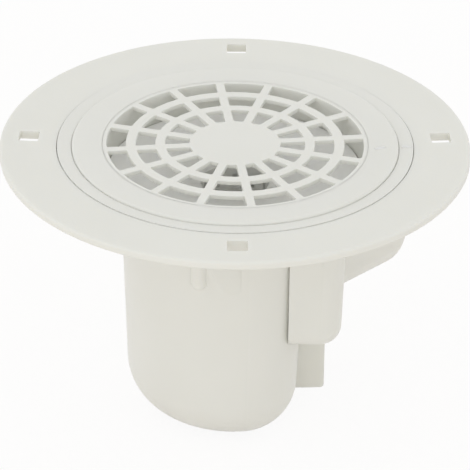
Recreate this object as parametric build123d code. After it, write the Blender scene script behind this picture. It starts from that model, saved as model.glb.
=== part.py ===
"""Floor drain with a twist-lock grate, a lift-out hair catcher and a dip tube that keeps a water seal."""
from build123d import *
from math import cos, radians, sin, sqrt, tan
import os

# Driving sizes in millimetres. The origin is on the drain's axis, level with the underside of the flange.
wall = 3.0
running_gap = 0.5
lip_gap = 0.6
seat_gap = 0.3

# Round flange that lies on the floor, with four square tie slots
flange_radius = 108.0
flange_thickness = 3.0
flange_rim_round = 0.9
flange_width = 26.0
tie_slot_count = 4
tie_slot_side = 9.2
tie_slot_inset = 13.0
tie_slot_corner = 0.6

# Dish in the flange that takes the frame ring
recess_depth = 5.0
recess_step = 5.0
dish_floor_top = -13.0

# Frame ring: a lip level with the floor, a seat for the grate and a skirt down into the dish
ring_proud = 0.4
ring_lip_edge_round = 0.6
ring_lip_width = 6.4
ring_seat_width = 4.0
ring_seat_thickness = 3.5
ring_skirt_wall = 3.2
ring_skirt_depth = 11.0
gasket_thickness = 1.5
gasket_width = 4.0

# Grate: a round plate with three rings of slots between straight spokes
grate_plate_thickness = 2.4
grate_rim_thickness = 3.4
grate_edge_round = 0.6
slot_ring_shares = ((0.278, 0.426), (0.487, 0.605), (0.667, 0.785))
spoke_count = 16
spoke_width = 4.0
first_slot_angle = -4.5
slot_corner_round = 0.5
grate_groove_share = 0.82
grate_groove_inset = 1.8
grate_groove_width = 0.5
grate_groove_depth = 0.25

# Twist lock between the grate and the frame ring
lug_count = 4
lug_arc = 16.0
lug_angle = 45.0
lug_height = 2.6
lug_reach = 1.9
collar_wall = 3.0
collar_depth = 8.0
unlock_turn = 25.0
notch_margin = 1.5
stop_arc = 4.0
stop_slack = 0.6

# Round throat under the dish, with the ledge that carries the dip tube
throat_inset = 3.9
throat_bottom = -30.0
ledge_top = -24.0
ledge_width = 5.4

# Trap bowl: round at the front, flat towards the outlet, with draft and a rounded floor
bowl_bottom = -133.3
bowl_floor_radius = 48.9
bowl_draft = 1.95
bowl_flat_depth = 19.7
bowl_corner_share = 0.532
bowl_floor_share = 0.501
weir_level = -58.0
weir_window_share = 0.72

# Outlet chamber, a second moulding cemented to the flat side of the bowl
chamber_side_inset = 4.3
chamber_reach = 22.3
chamber_overlap = 3.7
chamber_corner_cut = 7.253
chamber_bottom = -82.1
chamber_draft = 1.5
chamber_corner_round = 10.0
chamber_floor_round = 9.5

# Outlet socket for a drain pipe of 60 mm outside diameter
outlet_angle = 45.0
pipe_radius = 30.0
pipe_clearance = 0.1
socket_wall = 3.4
socket_depth = 25.0
socket_axis_level = -58.1
pipe_stop_width = 3.1
passage_length = 13.7

# Rib that stiffens the flat side of the bowl under the chamber
rib_thickness = 3.0
rib_inset = 7.9
rib_floor_gap = 4.3
rib_bottom_rise = 1.4
rib_corner = 2.0

# Small outside details of the bowl and the chamber
boss_radius = 3.9
boss_share = -0.317
boss_bottom = -46.0
boss_sunk = 1.2
relief_depth = 1.5
relief_bottom = -47.0
bowl_relief = (-3.4, 14.0)
chamber_relief_inset = 15.3
chamber_relief_width = 9.1

# Dip tube with its round seat flange and rubber ring
tube_side_gap = 5.2
tube_wall = 2.2
tube_floor_gap = 20.3
cup_flange_thickness = 2.5
cup_gasket_thickness = 2.0
cup_lip_height = 1.6

# Hair catcher: a shallow cone of slots over a basket that hangs in the tube
catcher_rest_width = 12.0
catcher_thickness = 1.8
catcher_cone_inset = 3.0
catcher_cone_bottom = -18.6
basket_gap = 1.2
basket_depth = 19.4
cone_slot_count = 24
cone_slot_width = 2.4
basket_slot_count = 12
basket_slot_width = 2.2
floor_hole_radius = 2.0

# Sizes worked out from the driving ones
flange_top = flange_thickness
tie_slot_pitch_radius = flange_radius - tie_slot_inset
recess_radius = flange_radius - flange_width
well_radius = recess_radius - recess_step
recess_floor = flange_top - recess_depth
dish_outer_radius = well_radius + wall
recess_outer_radius = recess_radius + wall
recess_underside = recess_floor - wall
dish_underside = dish_floor_top - wall
ring_top = flange_top + ring_proud
ring_lip_radius = recess_radius - lip_gap
ring_bore_radius = ring_lip_radius - ring_lip_width
ring_seat_radius = ring_bore_radius - ring_seat_width
ring_lip_underside = recess_floor + gasket_thickness
ring_seat_top = ring_top - grate_rim_thickness
ring_skirt_radius = well_radius - running_gap
ring_skirt_inner = ring_skirt_radius - ring_skirt_wall
ring_seat_underside = ring_seat_top - ring_seat_thickness
grate_radius = ring_bore_radius - lip_gap
grate_groove_radii = (grate_groove_share * grate_radius, grate_radius - grate_groove_inset)
collar_radius = ring_seat_radius - running_gap
lug_radius = collar_radius + lug_reach
lug_top = ring_seat_underside - seat_gap
bowl_flat_distance = bowl_floor_radius - bowl_flat_depth
bowl_corner_round = bowl_corner_share * bowl_floor_radius
bowl_floor_round = bowl_floor_share * bowl_floor_radius
throat_radius = bowl_floor_radius - throat_inset
throat_outer_radius = throat_radius + wall
chamber_half_width = bowl_floor_radius - chamber_side_inset
chamber_side = bowl_flat_distance + chamber_reach
chamber_edge = bowl_flat_distance - chamber_overlap
outlet_face = (chamber_side + chamber_half_width) / sqrt(2) - chamber_corner_cut
socket_stop = outlet_face - wall
socket_end = socket_stop + socket_depth
passage_start = socket_stop - passage_length
rib_reach = chamber_side - rib_inset
rib_bottom = bowl_bottom + rib_floor_gap
boss_x = boss_share * bowl_floor_radius
tube_outer_radius = bowl_flat_distance - wall - tube_side_gap
tube_bottom = bowl_bottom + wall + tube_floor_gap
cup_flange_radius = throat_radius - running_gap
cup_flange_underside = ledge_top + cup_gasket_thickness
cup_flange_top = cup_flange_underside + cup_flange_thickness
catcher_rim_radius = throat_radius + catcher_rest_width
catcher_cone_radius = throat_radius - catcher_cone_inset
basket_radius = tube_outer_radius - tube_wall - basket_gap
basket_bottom = catcher_cone_bottom - basket_depth
socket_bore_radius = pipe_radius + pipe_clearance
socket_radius = socket_bore_radius + socket_wall
passage_radius = socket_bore_radius - pipe_stop_width
slot_step = 360.0 / spoke_count
outlet_turn = Rot(0, 0, outlet_angle)


def disc(radius, low, high):
    """A round solid about the drain's axis."""
    return Pos(0, 0, low) * Cylinder(radius, high - low, align=(Align.CENTER, Align.CENTER, Align.MIN))


def tube(outer, inner, low, high):
    """A round tube about the drain's axis."""
    return disc(outer, low, high) - disc(inner, low - 1, high + 1)


def block(x_low, x_high, y_low, y_high, z_low, z_high):
    """A box between two corners."""
    size = Box(x_high - x_low, y_high - y_low, z_high - z_low, align=(Align.MIN, Align.MIN, Align.MIN))
    return Pos(x_low, y_low, z_low) * size


def sector(outer, inner, low, high, middle, arc):
    """A piece of a round tube, centred on one angle."""
    half = radians(arc / 2)
    reach = outer * 1.5
    corner_a = (reach * cos(-half), reach * sin(-half))
    corner_b = (reach * cos(half), reach * sin(half))
    wedge = extrude(Pos(0, 0, low) * make_face(Polyline((0, 0), corner_a, corner_b, close=True)), high - low)
    return tube(outer, inner, low, high) & (Rot(0, 0, middle) * wedge)


def turned(*points):
    """A solid of revolution about the drain's axis from points given as radius and level."""
    outline = Polyline(*[(radius, 0, level) for radius, level in points], close=True)
    return revolve(make_face(outline), Axis.Z)


def bowl_radius_at(level):
    """Outside radius of the bowl's round side at one level."""
    return bowl_floor_radius + (level - bowl_bottom) * tan(radians(bowl_draft))


def bowl_shape(inset, low, high):
    """The bowl's round-and-flat form, drawn in by a wall, between two levels."""
    radius = bowl_floor_radius - inset
    flat = bowl_flat_distance - inset
    side = 4 * radius
    round_part = Circle(radius) - Pos(flat + side / 2, 0) * Rectangle(side, side)
    outline = fillet(round_part.vertices(), bowl_corner_round - inset)
    return extrude(Pos(0, 0, low) * outline, high - low, taper=-bowl_draft)


def bowl_solid(inset, low, high):
    """The bowl with its rounded floor, between two levels."""
    shape = bowl_shape(inset, low, high)
    floor_edges = shape.edges().group_by(Axis.Z)[0]
    return fillet(floor_edges, bowl_floor_round - inset)


def flange_plate():
    plate = disc(flange_radius, 0, flange_top)
    return fillet(plate.edges().filter_by(GeomType.CIRCLE), flange_rim_round)


def tie_slots():
    cutter = Box(tie_slot_side, tie_slot_side, 4 * flange_thickness)
    cutter = fillet(cutter.edges().filter_by(Axis.Z), tie_slot_corner)
    step = 360.0 / tie_slot_count
    return [Rot(0, 0, k * step) * Pos(tie_slot_pitch_radius, 0, 0) * cutter for k in range(tie_slot_count)]


def front_boss():
    """Half-round boss down the front of the bowl, with a rounded lower end."""
    lower_end = boss_bottom + boss_radius
    depth = sqrt(bowl_radius_at(boss_bottom) ** 2 - boss_x ** 2) - boss_sunk
    shaft = Cylinder(boss_radius, dish_underside - lower_end, align=(Align.CENTER, Align.CENTER, Align.MIN))
    return Pos(boss_x, -depth, lower_end) * (shaft + Sphere(boss_radius))


def relief_ramp(place, surface):
    """A shallow ramp, deepest under the dish, that runs out lower down a front wall."""
    centre, width = place
    outside = surface - 4 * relief_depth
    profile = Polyline((outside, dish_underside - wall), (surface + relief_depth, dish_underside - wall),
                       (surface, relief_bottom), (outside, relief_bottom), close=True)
    return Pos(centre, 0, 0) * extrude(Plane.YZ * make_face(profile), width / 2, both=True)


def make_floor_flange():
    """Flange, dish and throat in one moulding, with the ledge that carries the dip tube."""
    flange = flange_plate()
    flange += disc(recess_outer_radius, recess_underside, flange_top - flange_rim_round)
    flange += disc(dish_outer_radius, dish_underside, 0)
    flange += disc(throat_outer_radius, throat_bottom, dish_underside)
    flange -= disc(recess_radius, recess_floor, flange_top + 1)
    flange -= disc(well_radius, dish_floor_top, flange_top)
    flange -= disc(throat_radius, ledge_top, dish_floor_top + 1)
    flange -= disc(throat_radius - ledge_width, throat_bottom - 1, ledge_top + 1)
    for slot in tie_slots():
        flange -= slot
    return flange


def make_trap_bowl():
    """Bowl cemented under the dish, with the weir window in its flat side."""
    bowl = bowl_solid(0, bowl_bottom, dish_underside)
    bowl += front_boss()
    bowl -= relief_ramp(bowl_relief, -bowl_radius_at(relief_bottom))
    bowl -= bowl_solid(wall, bowl_bottom + wall, dish_underside)
    half_window = weir_window_share * bowl_flat_distance
    window_inside = bowl_flat_distance - 2 * wall
    window_outside = bowl_flat_distance + 3 * wall
    bowl -= block(window_inside, window_outside, -half_window, half_window, weir_level, throat_bottom + 1)
    bowl -= disc(throat_outer_radius, throat_bottom, dish_underside + 1)
    return bowl


def chamber_outline(inset):
    """Plan of the chamber, drawn in by a wall: square at the sides and cut off towards the outlet."""
    side = chamber_side - inset
    half = chamber_half_width - inset
    cut = (outlet_face - inset) * sqrt(2)
    return make_face(Polyline((0, -half), (side, -half), (side, cut - side), (cut - half, half), (0, half),
                              close=True))


def chamber_block(inset):
    """The chamber's tapered form with its rounded corners and floor, drawn in by a wall."""
    height = dish_underside - chamber_bottom - inset
    shape = extrude(Pos(0, 0, dish_underside) * chamber_outline(inset), -height, taper=chamber_draft)
    upright = shape.edges().filter_by(lambda edge: abs(edge.tangent_at(0.5).Z) > 0.8)
    front_corner = upright.sort_by(lambda edge: edge.center().X - edge.center().Y)[-1]
    shape = fillet(front_corner, chamber_corner_round - inset)
    floor_edges = shape.edges().group_by(Axis.Z)[0]
    floor_edges = floor_edges.filter_by(lambda edge: edge.center().X > 1)
    return fillet(floor_edges, chamber_floor_round - inset)


def stiffening_rib():
    """A plate from the chamber's floor down the flat side of the bowl."""
    top = chamber_bottom + chamber_floor_round
    profile = Polyline((0, rib_bottom), (rib_reach, rib_bottom + rib_bottom_rise), (rib_reach, top), (0, top),
                       close=True)
    plate = extrude(Plane.XZ * make_face(profile), rib_thickness / 2, both=True)
    corner = plate.edges().filter_by(Axis.Y).filter_by(lambda edge: edge.center().X > rib_reach / 2)
    return fillet(corner.sort_by(Axis.Z)[0], rib_corner)


def socket_form(radius, near, far):
    """A round length on the outlet's axis, between two distances from the drain's axis."""
    length = Cylinder(radius, far - near, align=(Align.CENTER, Align.CENTER, Align.MIN))
    return outlet_turn * Pos(near, 0, socket_axis_level) * Rot(0, 90, 0) * length


def make_outlet_chamber():
    """Chamber, outlet socket and rib in one moulding, shaped to the bowl that it is cemented to."""
    chamber = chamber_block(0)
    chamber += socket_form(socket_radius, passage_start - wall, socket_end)
    chamber += stiffening_rib()
    chamber -= relief_ramp((chamber_side - chamber_relief_inset, chamber_relief_width), -chamber_half_width)
    chamber -= chamber_block(wall)
    chamber -= block(0, chamber_edge, -flange_radius, 0, bowl_bottom, 0)
    chamber -= socket_form(socket_bore_radius, socket_stop, socket_end + 1)
    chamber -= socket_form(passage_radius, passage_start, socket_stop + 1)
    chamber -= disc(throat_outer_radius, throat_bottom, dish_underside + 1)
    chamber -= bowl_solid(0, bowl_bottom, dish_underside)
    return chamber


def make_frame_ring():
    """Ring with its lip, grate seat, notches and threaded-on skirt."""
    ring = turned(
        (ring_bore_radius, ring_top), (ring_lip_radius, ring_top), (ring_lip_radius, ring_lip_underside),
        (ring_skirt_radius, ring_lip_underside), (ring_skirt_radius, -ring_skirt_depth),
        (ring_skirt_inner, -ring_skirt_depth), (ring_skirt_inner, ring_seat_underside),
        (ring_seat_radius, ring_seat_underside), (ring_seat_radius, ring_seat_top),
        (ring_bore_radius, ring_seat_top))
    top_edges = ring.edges().filter_by(GeomType.CIRCLE).group_by(Axis.Z)[-1]
    ring = fillet(top_edges.sort_by(SortBy.RADIUS)[-1], ring_lip_edge_round)
    notch_arc = lug_arc + 2 * notch_margin
    step = 360.0 / lug_count
    for k in range(lug_count):
        middle = lug_angle + unlock_turn + k * step
        ring -= sector(ring_skirt_inner, ring_seat_radius - 1, ring_seat_underside - 1, ring_seat_top + 1,
                       middle, notch_arc)
        stop_middle = lug_angle - lug_arc / 2 - stop_slack - stop_arc / 2 + k * step
        ring += sector(ring_skirt_inner + 0.5, ring_seat_radius, lug_top - lug_height, ring_seat_underside,
                       stop_middle, stop_arc)
    return ring


def slot_cutter(inner, outer, angle):
    """One slot of the grate: parallel spokes on its sides and arcs on its ends."""
    half_step = radians(slot_step / 2)
    shift = spoke_width / 2 / sin(half_step)
    reach = 2 * outer
    side = reach * tan(half_step)
    wedge = make_face(Polyline((shift, 0), (shift + reach, side), (shift + reach, -side), close=True))
    shape = wedge & (Circle(outer) - Circle(inner))
    shape = fillet(shape.vertices(), slot_corner_round)
    return Rot(0, 0, angle) * extrude(shape, ring_top + 1)


def make_grate():
    """Round grate with 48 slots, a resting rim and a collar with four lugs below."""
    plate_underside = ring_top - grate_plate_thickness
    grate = disc(grate_radius, ring_seat_top, ring_top)
    top_edge = grate.edges().group_by(Axis.Z)[-1]
    grate = fillet(top_edge, grate_edge_round)
    grate -= disc(collar_radius - collar_wall, ring_seat_top - 1, plate_underside)
    grate += tube(collar_radius, collar_radius - collar_wall, -collar_depth, plate_underside)
    step = 360.0 / lug_count
    for k in range(lug_count):
        grate += sector(lug_radius, collar_radius - 0.5, lug_top - lug_height, lug_top, lug_angle + k * step,
                        lug_arc)
    for radius in grate_groove_radii:
        grate -= tube(radius + grate_groove_width / 2, radius - grate_groove_width / 2,
                      ring_top - grate_groove_depth, ring_top + 1)
    for inner, outer in slot_ring_shares:
        for k in range(spoke_count):
            grate -= slot_cutter(inner * grate_radius, outer * grate_radius, first_slot_angle + k * slot_step)
    return grate


def make_seal_cup():
    """Dip tube with a seat flange and a short lip round its mouth."""
    inner = tube_outer_radius - tube_wall
    cup = tube(cup_flange_radius, inner, cup_flange_underside, cup_flange_top)
    cup += tube(tube_outer_radius, inner, tube_bottom, cup_flange_underside)
    cup += tube(cup_flange_radius, cup_flange_radius - tube_wall, cup_flange_top, cup_flange_top + cup_lip_height)
    return cup


def make_hair_catcher():
    """Slotted cone with a flat rim, over a slotted basket."""
    rim_bottom = dish_floor_top
    rim_top = rim_bottom + catcher_thickness
    inner = basket_radius - catcher_thickness
    catcher = turned(
        (catcher_rim_radius, rim_bottom), (catcher_rim_radius, rim_top), (catcher_cone_radius, rim_top),
        (inner, catcher_cone_bottom + catcher_thickness), (inner, basket_bottom + catcher_thickness),
        (0, basket_bottom + catcher_thickness), (0, basket_bottom), (basket_radius, basket_bottom),
        (basket_radius, catcher_cone_bottom), (catcher_cone_radius, rim_bottom))
    slot_length = catcher_cone_radius - basket_radius - 4
    cone_slot = Pos((catcher_cone_radius + basket_radius) / 2, 0, catcher_cone_bottom) * Box(
        slot_length, cone_slot_width, 30)
    for k in range(cone_slot_count):
        catcher -= Rot(0, 0, k * 360.0 / cone_slot_count) * cone_slot
    basket_slot = Pos(basket_radius, 0, (basket_bottom + catcher_cone_bottom) / 2 - 0.5) * Box(
        8, basket_slot_width, catcher_cone_bottom - basket_bottom - 7)
    for k in range(basket_slot_count):
        catcher -= Rot(0, 0, k * 360.0 / basket_slot_count) * basket_slot
    hole = Cylinder(floor_hole_radius, 8)
    for count, pitch in ((1, 0.0), (6, 9.0), (12, 18.0)):
        for k in range(count):
            catcher -= Rot(0, 0, k * 360.0 / count) * Pos(pitch, 0, basket_bottom) * hole
    return catcher


parts = {
    "floor_flange": make_floor_flange(),
    "trap_bowl": make_trap_bowl(),
    "outlet_chamber": make_outlet_chamber(),
    "frame_ring": make_frame_ring(),
    "ring_gasket": tube(recess_radius - running_gap, recess_radius - running_gap - gasket_width,
                        recess_floor, ring_lip_underside),
    "grate": make_grate(),
    "seal_cup": make_seal_cup(),
    "cup_gasket": tube(cup_flange_radius, cup_flange_radius - ledge_width + 0.4, ledge_top, cup_flange_underside),
    "hair_catcher": make_hair_catcher(),
}

os.makedirs("parts", exist_ok=True)
for name, shape in parts.items():
    export_step(shape, "parts/" + name + ".step")
    print(name, "volume", round(shape.volume), "mm3")
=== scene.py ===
import bmesh
import bpy
import math
from mathutils import Matrix, Vector


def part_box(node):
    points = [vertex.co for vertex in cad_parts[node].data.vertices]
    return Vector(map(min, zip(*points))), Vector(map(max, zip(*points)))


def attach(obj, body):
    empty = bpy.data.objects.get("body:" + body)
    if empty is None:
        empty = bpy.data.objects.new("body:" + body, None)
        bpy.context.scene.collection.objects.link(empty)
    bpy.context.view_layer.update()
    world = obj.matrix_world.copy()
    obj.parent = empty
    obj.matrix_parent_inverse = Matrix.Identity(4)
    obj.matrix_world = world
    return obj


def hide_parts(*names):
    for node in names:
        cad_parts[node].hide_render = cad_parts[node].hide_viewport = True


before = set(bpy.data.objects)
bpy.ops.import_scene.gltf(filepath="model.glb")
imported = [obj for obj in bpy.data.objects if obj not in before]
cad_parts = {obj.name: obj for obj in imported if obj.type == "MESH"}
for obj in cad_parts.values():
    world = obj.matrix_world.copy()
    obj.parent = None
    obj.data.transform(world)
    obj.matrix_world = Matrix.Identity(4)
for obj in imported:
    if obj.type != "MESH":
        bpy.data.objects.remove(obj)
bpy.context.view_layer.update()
scene = bpy.context.scene
mm = 0.001
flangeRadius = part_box("floor_flange")[1].x
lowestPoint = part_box("trap_bowl")[0].z
print("frame loaded:", len(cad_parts), "nodes")

# Camera: the photograph's view, from the front and 30 degrees above
cameraSettings = {
    "elevation": 29.945,  # degrees above the flange
    "roll": 0.726,  # degrees
    "distance": 14.90,  # in flange radii, a long lens
    "aim": (0.45 * mm, -20.9 * mm, -33.3 * mm),
    "lens": 268.7,
    "sensor": 36.0,
    "farClip": 20,  # m
}


def makeCamera(settings):
    elevation = math.radians(settings["elevation"])
    roll = math.radians(settings["roll"])
    back = Vector((0, -math.cos(elevation), math.sin(elevation)))
    levelUp = Vector((0, math.sin(elevation), math.cos(elevation)))
    levelRight = Vector((1, 0, 0))
    right = levelRight * math.cos(roll) + levelUp * math.sin(roll)
    up = levelUp * math.cos(roll) - levelRight * math.sin(roll)
    camera = bpy.data.objects.new("camera", bpy.data.cameras.new("camera"))
    scene.collection.objects.link(camera)
    place = Vector(settings["aim"]) + back * settings["distance"] * flangeRadius
    turn = Matrix((right, up, back)).transposed().to_4x4()
    camera.matrix_world = Matrix.Translation(place) @ turn
    camera.data.lens = settings["lens"]
    camera.data.sensor_width = settings["sensor"]
    camera.data.dof.use_dof = False
    camera.data.clip_end = settings["farClip"]
    scene.camera = camera


makeCamera(cameraSettings)
print("camera placed")


# Materials
def linearColour(hexColour):
    channels = [int(hexColour[i:i + 2], 16) / 255 for i in (1, 3, 5)]
    linear = [c / 12.92 if c <= 0.04045 else ((c + 0.055) / 1.055) ** 2.4 for c in channels]
    return (*linear, 1.0)


def addNode(tree, kind, settings=None, links=None):
    node = tree.nodes.new(kind)
    for name, value in (settings or {}).items():
        if hasattr(node, name):
            setattr(node, name, value)
        else:
            node.inputs[name].default_value = value
    for name, socket in (links or {}).items():
        tree.links.new(socket, node.inputs[name])
    return node


def newMaterial(name):
    material = bpy.data.materials.new(name)
    material.use_nodes = True
    tree = material.node_tree
    tree.nodes.clear()
    return material, tree


absSettings = {
    "colour": "#EAEAE4",  # a warm white, as ABS is before any paint
    "shade": "#E6E6DF",  # thin wandering tone from the flow of the melt
    "flowSize": 45.0,  # mm
    "flowDetail": 2.0,
    "grainSize": 0.9,  # mm, the mould's fine spark texture, drawn coarser so that it shows
    "grainDetail": 1.0,
    "grainDepth": 0.012,  # mm
    "grainStrength": 1.0,
    "roughness": (0.40, 0.52),
    "ior": 1.53,
    "scatterShare": 0.35,  # light that enters the wall and comes out beside where it went in
    "scatterColour": (1.0, 0.97, 0.9),
    "scatterDepth": 3.0,  # mm
}
# A whiter copy of the ABS, as painted light: on the hair catcher and seal cup it lightens the shaded inside
# of the drain, and on the ticks it is a painted highlight
paintedLightSettings = {**absSettings, "colour": "#FAFAF7", "shade": "#F8F8F4"}  # inner pieces and ticks are whiter


def makeMouldedAbs(name, settings):
    # Injection-moulded ABS: satin, slightly uneven gloss where the mould was polished by hand
    material, tree = newMaterial(name)
    place = addNode(tree, "ShaderNodeTexCoord").outputs["Object"]
    flow = addNode(tree, "ShaderNodeTexNoise",
                   {"Scale": 1000 / settings["flowSize"], "Detail": settings["flowDetail"]},
                   {"Vector": place}).outputs["Fac"]
    tone = addNode(tree, "ShaderNodeMix", {"data_type": "RGBA"}, {"Factor": flow})
    tone.inputs["A"].default_value = linearColour(settings["colour"])
    tone.inputs["B"].default_value = linearColour(settings["shade"])
    gloss = addNode(tree, "ShaderNodeMapRange",
                    {"To Min": settings["roughness"][0], "To Max": settings["roughness"][1]},
                    {"Value": flow})
    grain = addNode(tree, "ShaderNodeTexNoise",
                    {"Scale": 1000 / settings["grainSize"], "Detail": settings["grainDetail"]},
                    {"Vector": place}).outputs["Fac"]
    bump = addNode(tree, "ShaderNodeBump",
                   {"Strength": settings["grainStrength"], "Distance": settings["grainDepth"] * mm},
                   {"Height": grain})
    shader = addNode(tree, "ShaderNodeBsdfPrincipled",
                     {"IOR": settings["ior"], "Subsurface Weight": settings["scatterShare"],
                      "Subsurface Radius": settings["scatterColour"],
                      "Subsurface Scale": settings["scatterDepth"] * mm},
                     {"Base Color": tone.outputs["Result"], "Roughness": gloss.outputs["Result"],
                      "Normal": bump.outputs["Normal"]})
    addNode(tree, "ShaderNodeOutputMaterial", {}, {"Surface": shader.outputs["BSDF"]})
    return material


rubberSettings = {
    "colour": "#2A2A2B",
    "roughness": 0.75,
    "grainSize": 0.6,  # mm
    "grainDepth": 0.02,  # mm
    "grainStrength": 0.6,
    "ior": 1.5,
}


def makeMouldedRubber(settings):
    # Compression-moulded EPDM: matt black with a faint tooth
    material, tree = newMaterial("mouldedRubber")
    place = addNode(tree, "ShaderNodeTexCoord").outputs["Object"]
    tooth = addNode(tree, "ShaderNodeTexNoise", {"Scale": 1000 / settings["grainSize"]}, {"Vector": place})
    bump = addNode(tree, "ShaderNodeBump",
                   {"Strength": settings["grainStrength"], "Distance": settings["grainDepth"] * mm},
                   {"Height": tooth.outputs["Fac"]})
    shader = addNode(tree, "ShaderNodeBsdfPrincipled",
                     {"Base Color": linearColour(settings["colour"]), "Roughness": settings["roughness"],
                      "IOR": settings["ior"]}, {"Normal": bump.outputs["Normal"]})
    addNode(tree, "ShaderNodeOutputMaterial", {}, {"Surface": shader.outputs["BSDF"]})
    return material


mouldedAbs = makeMouldedAbs("mouldedAbs", absSettings)
# Painted light: this whiter copy stands in for light in the drain's shaded inside and for the ticks'
# highlight
paintedLightAbs = makeMouldedAbs("paintedLightWhiteAbs", paintedLightSettings)
mouldedRubber = makeMouldedRubber(rubberSettings)


def dress(nodeName, material):
    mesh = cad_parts[nodeName].data
    mesh.materials.clear()
    mesh.materials.append(material)


dress("trap_bowl", mouldedAbs)
dress("outlet_chamber", mouldedAbs)
# The seal cup takes the whiter copy, painted light for the drain's shaded inside
dress("seal_cup", paintedLightAbs)
for nodeName in ("ring_gasket", "cup_gasket"):
    dress(nodeName, mouldedRubber)
print("materials assigned")

# Shaping tools that the moulded pieces share. Radii, levels and sizes are in mm
shapingSettings = {
    "sameLevel": 0.01,
    "closeBy": 0.05,
    "merge": 0.001,
    "flatNormal": 0.9,  # least upward or downward part of a flat face's normal
    "sectorSteps": 6,
    "sharpAngle": 40.0,  # degrees, from which an edge stays crisp
    "normalWeight": 100,
}
closeBy = shapingSettings["closeBy"]


def polar(radius, degrees, level):
    angle = math.radians(degrees)
    return Vector((radius * math.cos(angle), radius * math.sin(angle), level)) * mm


def reachOf(vert):
    return vert.co.xy.length / mm


def atLevel(vert, level):
    return abs(vert.co.z / mm - level) < shapingSettings["sameLevel"]


def edgeHeight(edge):
    return abs(edge.verts[0].co.z - edge.verts[1].co.z) / mm


def ringFaces(shape, inner, outer, level, upward):
    # Flat faces between two radii at one level
    found = []
    for face in shape.faces:
        middle = face.calc_center_median() / mm
        reach = math.hypot(middle.x, middle.y)
        flat = (face.normal.z if upward else -face.normal.z) > shapingSettings["flatNormal"]
        if flat and inner < reach < outer and abs(middle.z - level) < closeBy:
            found.append(face)
    return found


def pushFaces(shape, faces, rise):
    # Extrudes faces straight up, or down where the rise is negative
    grown = bmesh.ops.extrude_face_region(shape, geom=faces)["geom"]
    moved = [item for item in grown if isinstance(item, bmesh.types.BMVert)]
    bmesh.ops.translate(shape, verts=moved, vec=(0, 0, rise * mm))
    bmesh.ops.delete(shape, geom=[face for face in faces if face.is_valid], context="FACES")
    shape.normal_update()


def bevelEdges(shape, edges, width, segments):
    bmesh.ops.bevel(shape, geom=edges, offset=width * mm, segments=segments, profile=0.5,
                    affect="EDGES", clamp_overlap=True, material=-1)


def roundEdge(shape, radius, level, width, segments):
    # Rounds the circular edge at one radius and level
    found = [edge for edge in shape.edges
             if all(atLevel(v, level) and abs(reachOf(v) - radius) < closeBy for v in edge.verts)]
    bevelEdges(shape, found, width, segments)


def spinShape(outline, steps):
    # A closed section, given as radius and level, turned once round the drain's axis
    shape = bmesh.new()
    corners = [shape.verts.new((radius * mm, 0, level * mm)) for radius, level in outline]
    edges = [shape.edges.new((corners[k - 1], corners[k])) for k in range(len(corners))]
    bmesh.ops.spin(shape, geom=corners + edges, cent=(0, 0, 0), axis=(0, 0, 1), angle=2 * math.pi,
                   steps=steps, use_merge=True)
    bmesh.ops.remove_doubles(shape, verts=shape.verts, dist=shapingSettings["merge"] * mm)
    bmesh.ops.recalc_face_normals(shape, faces=shape.faces)
    return shape


def addSectors(shape, settings):
    # Equal blocks between two radii and two levels, bent round the axis
    inner, outer = settings["radii"]
    low, high = settings["levels"]
    for k in range(settings["count"]):
        start = settings["middle"] + k * 360 / settings["count"] - settings["arc"] / 2
        corners = [polar(radius, start, level)
                   for radius, level in ((inner, low), (outer, low), (outer, high), (inner, high))]
        section = shape.faces.new([shape.verts.new(place) for place in corners])
        before = set(shape.faces)
        bmesh.ops.spin(shape, geom=[section, *section.edges, *section.verts], cent=(0, 0, 0),
                       axis=(0, 0, 1), angle=math.radians(settings["arc"]),
                       steps=shapingSettings["sectorSteps"])
        added = [face for face in shape.faces if face not in before]
        bmesh.ops.recalc_face_normals(shape, faces=[section] + added)


def addBlock(shape, size, place, angle):
    # An upright block, moved out from the axis and turned round it
    block = bmesh.ops.create_cube(shape, size=1)["verts"]
    bmesh.ops.scale(shape, verts=block, vec=Vector(size) * mm)
    bmesh.ops.translate(shape, verts=block, vec=Vector(place) * mm)
    bmesh.ops.rotate(shape, verts=block, cent=(0, 0, 0), matrix=Matrix.Rotation(math.radians(angle), 3, "Z"))
    return block


def newObject(name, shape, material=None):
    mesh = bpy.data.meshes.new(name)
    shape.to_mesh(mesh)
    shape.free()
    if material:
        mesh.materials.append(material)
    piece = bpy.data.objects.new(name, mesh)
    scene.collection.objects.link(piece)
    return piece


def cutAway(piece, cutterShape):
    # Takes closed shapes out of a piece
    cutter = newObject("cutter", cutterShape)
    holes = piece.modifiers.new("holes", "BOOLEAN")
    holes.operation = "DIFFERENCE"
    holes.solver = "EXACT"
    holes.object = cutter
    whole = piece.data
    piece.data = bpy.data.meshes.new_from_object(piece.evaluated_get(bpy.context.evaluated_depsgraph_get()))
    piece.modifiers.clear()
    bpy.data.meshes.remove(whole)
    bpy.data.meshes.remove(cutter.data)  # the cutter goes with its mesh


def finishPiece(piece, body, node=None):
    # Even normals, the body that it rides on and the CAD node that it stands for
    piece.data.shade_smooth()
    piece.data.set_sharp_from_angle(angle=math.radians(shapingSettings["sharpAngle"]))
    evenNormals = piece.modifiers.new("evenNormals", "WEIGHTED_NORMAL")
    evenNormals.weight = shapingSettings["normalWeight"]
    evenNormals.keep_sharp = True
    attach(piece, body)
    if node:
        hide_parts(node)


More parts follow.
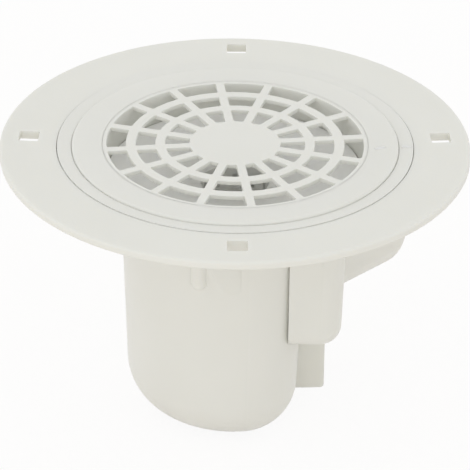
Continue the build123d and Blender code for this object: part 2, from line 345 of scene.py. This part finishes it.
# Flange, dish and throat: one moulding with a fall towards the grate and four square tie slots
flangeSettings = {
    "outline": ((39.6, -30.0), (48.0, -30.0), (48.0, -16.0), (80.0, -16.0), (80.0, -5.0), (85.0, -5.0),
                (85.0, -1.0), (108.0, -1.0), (108.0, 3.0), (88.4, 3.0), (82.0, 2.6), (82.0, -2.0),
                (77.0, -2.0), (77.0, -13.0), (45.0, -13.0), (45.0, -24.0), (39.6, -24.0)),
    "rounds": ((108.0, 3.0, 1.2), (108.0, -1.0, 1.2), (82.0, 2.6, 0.2)),  # radius, level, size
    "roundSteps": 4,
    "steps": 180,
    "slotPlaces": ((5.0, 95.0), (90.0, 96.2), (177.0, 95.0), (271.0, 93.4)),  # degrees, then radius
    "slotSide": 9.2,
    "slotCorner": 0.6,
    "slotCornerSteps": 3,
    "slotLevels": (-2.0, 4.0),
}


def makeFlange(settings):
    shape = spinShape(settings["outline"], settings["steps"])
    for radius, level, width in settings["rounds"]:
        roundEdge(shape, radius, level, width, settings["roundSteps"])
    cutter = bmesh.new()
    low, high = settings["slotLevels"]
    slotSize = (settings["slotSide"], settings["slotSide"], high - low)
    for angle, reach in settings["slotPlaces"]:
        addBlock(cutter, slotSize, (reach, 0, (low + high) / 2), angle)
    upright = [edge for edge in cutter.edges if edgeHeight(edge) > closeBy]
    bevelEdges(cutter, upright, settings["slotCorner"], settings["slotCornerSteps"])
    flange = newObject("floorFlange", shape, mouldedAbs)
    cutAway(flange, cutter)
    finishPiece(flange, "drain", "floor_flange")


makeFlange(flangeSettings)
print("flange made")

# Frame ring: a lip that falls slightly inwards, the grate's seat with its notches, stops and a skirt
ringSettings = {
    "outline": ((75.2, 2.6), (81.75, 3.0), (81.75, -0.5), (76.5, -0.5), (76.5, -11.0), (73.3, -11.0),
                (73.3, -3.5), (71.0, -3.5), (71.0, 0.0), (75.2, 0.0)),
    "rounds": ((81.75, 3.0, 0.3), (75.2, 2.6, 0.3)),
    "roundSteps": 3,
    "steps": 180,
    "notch": {"count": 4, "radii": (70.0, 73.3), "levels": (-4.5, 1.0), "middle": 70.0, "arc": 19.0},
    "stop": {"count": 4, "radii": (71.0, 73.8), "levels": (-6.4, -3.5), "middle": 34.4, "arc": 4.0},
}


def makeRing(settings):
    shape = spinShape(settings["outline"], settings["steps"])
    for radius, level, width in settings["rounds"]:
        roundEdge(shape, radius, level, width, settings["roundSteps"])
    cutter = bmesh.new()
    addSectors(cutter, settings["notch"])
    ring = newObject("frameRing", shape, mouldedAbs)
    cutAway(ring, cutter)
    # The stops come last, because a cut through them kept a different number of them in each run
    shape = bmesh.new()
    shape.from_mesh(ring.data)
    addSectors(shape, settings["stop"])
    shape.to_mesh(ring.data)
    shape.free()
    finishPiece(ring, "drain", "frame_ring")


makeRing(ringSettings)
print("ring made")

# Grate: sixteen spokes over three rings of slots, its edges rounded as the moulding's are
grateSettings = {
    "radius": 75.05,
    "top": 3.6,
    "sides": 16,  # slots in each ring
    "spokeWidth": 4.0,
    "firstSlot": -3.8,  # degrees, middle of the first slot
    "slotRings": ((0.2785, 0.427), (0.488, 0.6065), (0.6685, 0.7865)),  # shares of the radius
    "slotColumns": 6,  # faces across one slot
    "hubLoop": 0.55,  # the hub's inner loop, as a share of the first slots' inner radius
    "plateThickness": 2.0,
    "rimThickness": 3.6,
    "collar": (67.5, 70.5),  # radii of the collar under the plate
    "collarBottom": -8.0,
    "skirtWidth": 2.0,
    "skirtDepth": 16.1,  # from the top, a light wall behind the outer slots, down past the hair catcher's rim
    "groove": (0.8117, 0.8183),  # shares of the radius
    "grooveDepth": 0.05,
    "slotEdge": 0.7,
    "slotCorner": 0.9,
    "slotSteps": 3,
    "cornerAngle": 0.8,  # radians, least bend of a slot's corner in plan
    "edgeAngle": 1.0,  # radians, least bend of a slot's upper edge
    "rimEdge": 1.0,
    "rimSteps": 5,
    "merge": 0.01,
    "lug": {"count": 4, "radii": (70.1, 72.4), "levels": (-6.4, -3.8), "middle": 45.0, "arc": 16.0},
}


def makeGrate(settings):
    radius = settings["radius"]
    top = settings["top"]
    underside = top - settings["plateThickness"]
    rimUnderside = top - settings["rimThickness"]
    step = 360 / settings["sides"]
    slotEnds = [share * radius for ring in settings["slotRings"] for share in ring]
    skirt = (slotEnds[-1], slotEnds[-1] + settings["skirtWidth"])
    groove = [share * radius for share in settings["groove"]]
    rows = [slotEnds[0] * settings["hubLoop"], *slotEnds, skirt[1], *groove, *settings["collar"], radius]
    columns = settings["slotColumns"] + 2

    def halfSlot(reach):
        # Degrees from a slot's middle to its spoke
        return step / 2 - math.degrees(math.asin(settings["spokeWidth"] / 2 / reach))

    # One sector as a grid: columns run along the spokes' straight edges, rows round the rings
    shape = bmesh.new()
    bmesh.ops.create_grid(shape, x_segments=columns, y_segments=len(rows) - 1, size=1)
    for vert in shape.verts:
        column = round((vert.co.x + 1) / 2 * columns)
        row = round((vert.co.y + 1) / 2 * (len(rows) - 1))
        if column == 0 or column == columns:
            turn = step / 2 if column else -step / 2
        else:
            turn = halfSlot(rows[row]) * (2 * (column - 1) / settings["slotColumns"] - 1)
        vert.co = polar(rows[row], turn, top)
    slotFaces = []
    for face in shape.faces:
        middle = face.calc_center_median() / mm
        reach = math.hypot(middle.x, middle.y)
        turn = abs(math.degrees(math.atan2(middle.y, middle.x)))
        inRing = any(a * radius < reach < b * radius for a, b in settings["slotRings"])
        if inRing and turn < halfSlot(reach):
            slotFaces.append(face)
    bmesh.ops.delete(shape, geom=slotFaces, context="FACES")

    # All the sectors round the axis, then the hub's middle
    bmesh.ops.rotate(shape, verts=shape.verts, cent=(0, 0, 0),
                     matrix=Matrix.Rotation(math.radians(settings["firstSlot"]), 3, "Z"))
    bmesh.ops.spin(shape, geom=shape.faces[:], cent=(0, 0, 0), axis=(0, 0, 1),
                   angle=math.radians(360 - step), steps=settings["sides"] - 1, use_duplicate=True)
    bmesh.ops.remove_doubles(shape, verts=shape.verts, dist=settings["merge"] * mm)
    hubReach = (rows[0] + rows[1]) / 2
    hubEdges = [edge for edge in shape.edges
                if edge.is_boundary and all(reachOf(v) < hubReach for v in edge.verts)]
    bmesh.ops.holes_fill(shape, edges=hubEdges, sides=0)
    bmesh.ops.recalc_face_normals(shape, faces=shape.faces)
    if shape.faces[0].normal.z < 0:
        bmesh.ops.reverse_faces(shape, faces=shape.faces)

    # Thickness, then the rings that stand lower or higher than the plate
    grown = bmesh.ops.extrude_face_region(shape, geom=shape.faces[:])["geom"]
    bmesh.ops.translate(shape, verts=[v for v in grown if isinstance(v, bmesh.types.BMVert)],
                        vec=(0, 0, -settings["plateThickness"] * mm))
    bmesh.ops.recalc_face_normals(shape, faces=shape.faces)
    shape.normal_update()
    pushFaces(shape, ringFaces(shape, *groove, top, True), -settings["grooveDepth"])
    pushFaces(shape, ringFaces(shape, *skirt, underside, False),
              settings["plateThickness"] - settings["skirtDepth"])
    pushFaces(shape, ringFaces(shape, settings["collar"][0], radius, underside, False),
              rimUnderside - underside)
    pushFaces(shape, ringFaces(shape, *settings["collar"], rimUnderside, False),
              settings["collarBottom"] - rimUnderside)

    # Rounded edges: the slots' corners in plan, the slots' upper edges, and the rim
    corners = [edge for edge in shape.edges
               if edgeHeight(edge) > settings["plateThickness"] / 2
               and reachOf(edge.verts[0]) < slotEnds[-1] + closeBy
               and edge.calc_face_angle(0) > settings["cornerAngle"]]
    bevelEdges(shape, corners, settings["slotCorner"], settings["slotSteps"])
    shape.normal_update()
    slotEdges = [edge for edge in shape.edges
                 if len(edge.link_faces) == 2 and edge.calc_face_angle(0) >= settings["edgeAngle"]
                 and all(atLevel(v, top) for v in edge.verts)
                 and slotEnds[0] - closeBy < max(reachOf(v) for v in edge.verts) < slotEnds[-1] + closeBy]
    bevelEdges(shape, slotEdges, settings["slotEdge"], settings["slotSteps"])
    shape.normal_update()
    rimEdges = [edge for edge in shape.edges
                if all(atLevel(v, top) and reachOf(v) > radius - closeBy for v in edge.verts)]
    bevelEdges(shape, rimEdges, settings["rimEdge"], settings["rimSteps"])
    shape.normal_update()
    bmesh.ops.dissolve_degenerate(shape, dist=shapingSettings["merge"] * mm, edges=shape.edges)

    addSectors(shape, settings["lug"])
    finishPiece(newObject("strainerGrate", shape, mouldedAbs), "grate", "grate")


makeGrate(grateSettings)
print("grate made")

# Hair catcher: a shallow cone with a flat rim, over a slotted basket
catcherSettings = {
    "outline": ((58.6, -13.0), (58.6, -11.2), (42.0, -11.2), (15.8, -16.8), (15.8, -28.8), (0.0, -28.8),
                (0.0, -30.6), (17.6, -30.6), (17.6, -18.6), (42.0, -13.0)),
    "steps": 120,
    "sideSlots": {"count": 12, "size": (8.0, 2.2, 6.0), "place": (17.6, 0.0, -24.6)},
    "floorHoles": ((1, 0.0), (6, 9.0)),  # how many, and how far from the axis
    "floorLevel": -28.8,
    "holeRadius": 2.0,
    "holeSides": 20,
    "holeDepth": 8.0,
}


def makeCatcher(settings):
    shape = spinShape(settings["outline"], settings["steps"])
    cutter = bmesh.new()
    slots = settings["sideSlots"]
    for k in range(slots["count"]):
        addBlock(cutter, slots["size"], slots["place"], k * 360 / slots["count"])
    holeRadius = settings["holeRadius"] * mm
    for count, reach in settings["floorHoles"]:
        for k in range(count):
            hole = bmesh.ops.create_cone(cutter, segments=settings["holeSides"], cap_ends=True,
                                         radius1=holeRadius, radius2=holeRadius,
                                         depth=settings["holeDepth"] * mm)["verts"]
            bmesh.ops.translate(cutter, verts=hole, vec=polar(reach, k * 360 / count, settings["floorLevel"]))
    # Whiter ABS on the catcher: painted light that lightens the shade under the grate
    catcher = newObject("hairCatcher", shape, paintedLightAbs)
    cutAway(catcher, cutter)
    finishPiece(catcher, "drain", "hair_catcher")


makeCatcher(catcherSettings)
print("hair catcher made")

# Two raised ticks that line up when the grate is locked
tickSettings = {
    "width": 1.6,
    "height": 0.2,  # above the surface, and as much below it
    "edge": 0.15,
    "edgeSteps": 3,
    "ticks": {
        "grateTick": {"body": "grate", "place": (66.4, -3.5, 3.6), "turn": 26.0, "length": 5.0},
        "ringTick": {"body": "drain", "place": (78.5, -0.5, 2.82), "turn": -2.0, "length": 4.6},
    },
}


def makeTick(name, tick, settings):
    shape = bmesh.new()
    size = (tick["length"], settings["width"], 2 * settings["height"])
    bar = addBlock(shape, size, (0, 0, 0), tick["turn"])
    bmesh.ops.translate(shape, verts=bar, vec=Vector(tick["place"]) * mm)
    upper = [edge for edge in shape.edges if all(v.co.z > tick["place"][2] * mm for v in edge.verts)]
    bevelEdges(shape, upper, settings["edge"], settings["edgeSteps"])
    # The ticks take the whiter ABS as a painted highlight
    finishPiece(newObject(name, shape, paintedLightAbs), tick["body"])


for tickName, tick in tickSettings["ticks"].items():
    makeTick(tickName, tick, tickSettings)
print("ticks made")

# Floor, world and lamps: plain and pale, so that the object shows its own colours
stageSettings = {
    "floorSize": 6.0,  # m
    "floorGap": 0.05,  # mm, so that the floor and the bowl's foot never share one plane
    "floorColour": "#FDF9F5",
    "paperWhite": "#FFFFFF",
    "worldStrength": 0.897,
    "ownShare": 0.9,  # of the paper that the lens sees, the part that no shadow reaches
    "lamps": {
        "leftSoftbox": {"place": (-1.4, -0.8, 0.1), "size": 1.0, "power": 2.1},
        "frontSoftbox": {"place": (0.0, -1.6, -0.05), "size": 1.2, "power": 1.2},
    },
}


def makeStage(settings):
    mesh = bpy.data.meshes.new("floor")
    shape = bmesh.new()
    bmesh.ops.create_grid(shape, x_segments=1, y_segments=1, size=settings["floorSize"] / 2)
    bmesh.ops.translate(shape, verts=shape.verts, vec=(0, 0, lowestPoint - settings["floorGap"] * mm))
    shape.to_mesh(mesh)
    shape.free()
    floor = bpy.data.objects.new("floor", mesh)
    scene.collection.objects.link(floor)

    # White background paper: matt, and mostly white by itself where the lens, a gloss or glass sees it
    material, tree = newMaterial("palePaper")
    white = linearColour(settings["paperWhite"])
    matt = addNode(tree, "ShaderNodeBsdfDiffuse", {"Color": linearColour(settings["floorColour"])})
    glow = addNode(tree, "ShaderNodeEmission", {"Color": white, "Strength": 1.0})
    path = addNode(tree, "ShaderNodeLightPath")
    seen = path.outputs["Is Camera Ray"]
    for ray in ("Is Glossy Ray", "Is Transmission Ray"):
        either = addNode(tree, "ShaderNodeMath", {"operation": "MAXIMUM"})
        tree.links.new(seen, either.inputs[0])
        tree.links.new(path.outputs[ray], either.inputs[1])
        seen = either.outputs[0]
    share = addNode(tree, "ShaderNodeMath", {"operation": "MULTIPLY"})
    share.inputs[1].default_value = settings["ownShare"]
    tree.links.new(seen, share.inputs[0])
    both = addNode(tree, "ShaderNodeMixShader")
    tree.links.new(share.outputs[0], both.inputs[0])
    tree.links.new(matt.outputs[0], both.inputs[1])
    tree.links.new(glow.outputs[0], both.inputs[2])
    addNode(tree, "ShaderNodeOutputMaterial", {}, {"Surface": both.outputs[0]})
    mesh.materials.append(material)

    world = bpy.data.worlds.new("paleRoom")
    scene.world = world
    world.use_nodes = True
    background = world.node_tree.nodes["Background"]
    background.inputs["Color"].default_value = white
    background.inputs["Strength"].default_value = settings["worldStrength"]

    for name, lamp in settings["lamps"].items():
        light = bpy.data.objects.new(name, bpy.data.lights.new(name, "AREA"))
        scene.collection.objects.link(light)
        light.location = lamp["place"]
        light.rotation_euler = (-light.location).to_track_quat("-Z", "Y").to_euler()
        light.data.size = lamp["size"]
        light.data.energy = lamp["power"]


makeStage(stageSettings)
scene.view_settings.view_transform = "Standard"
print("stage ready")
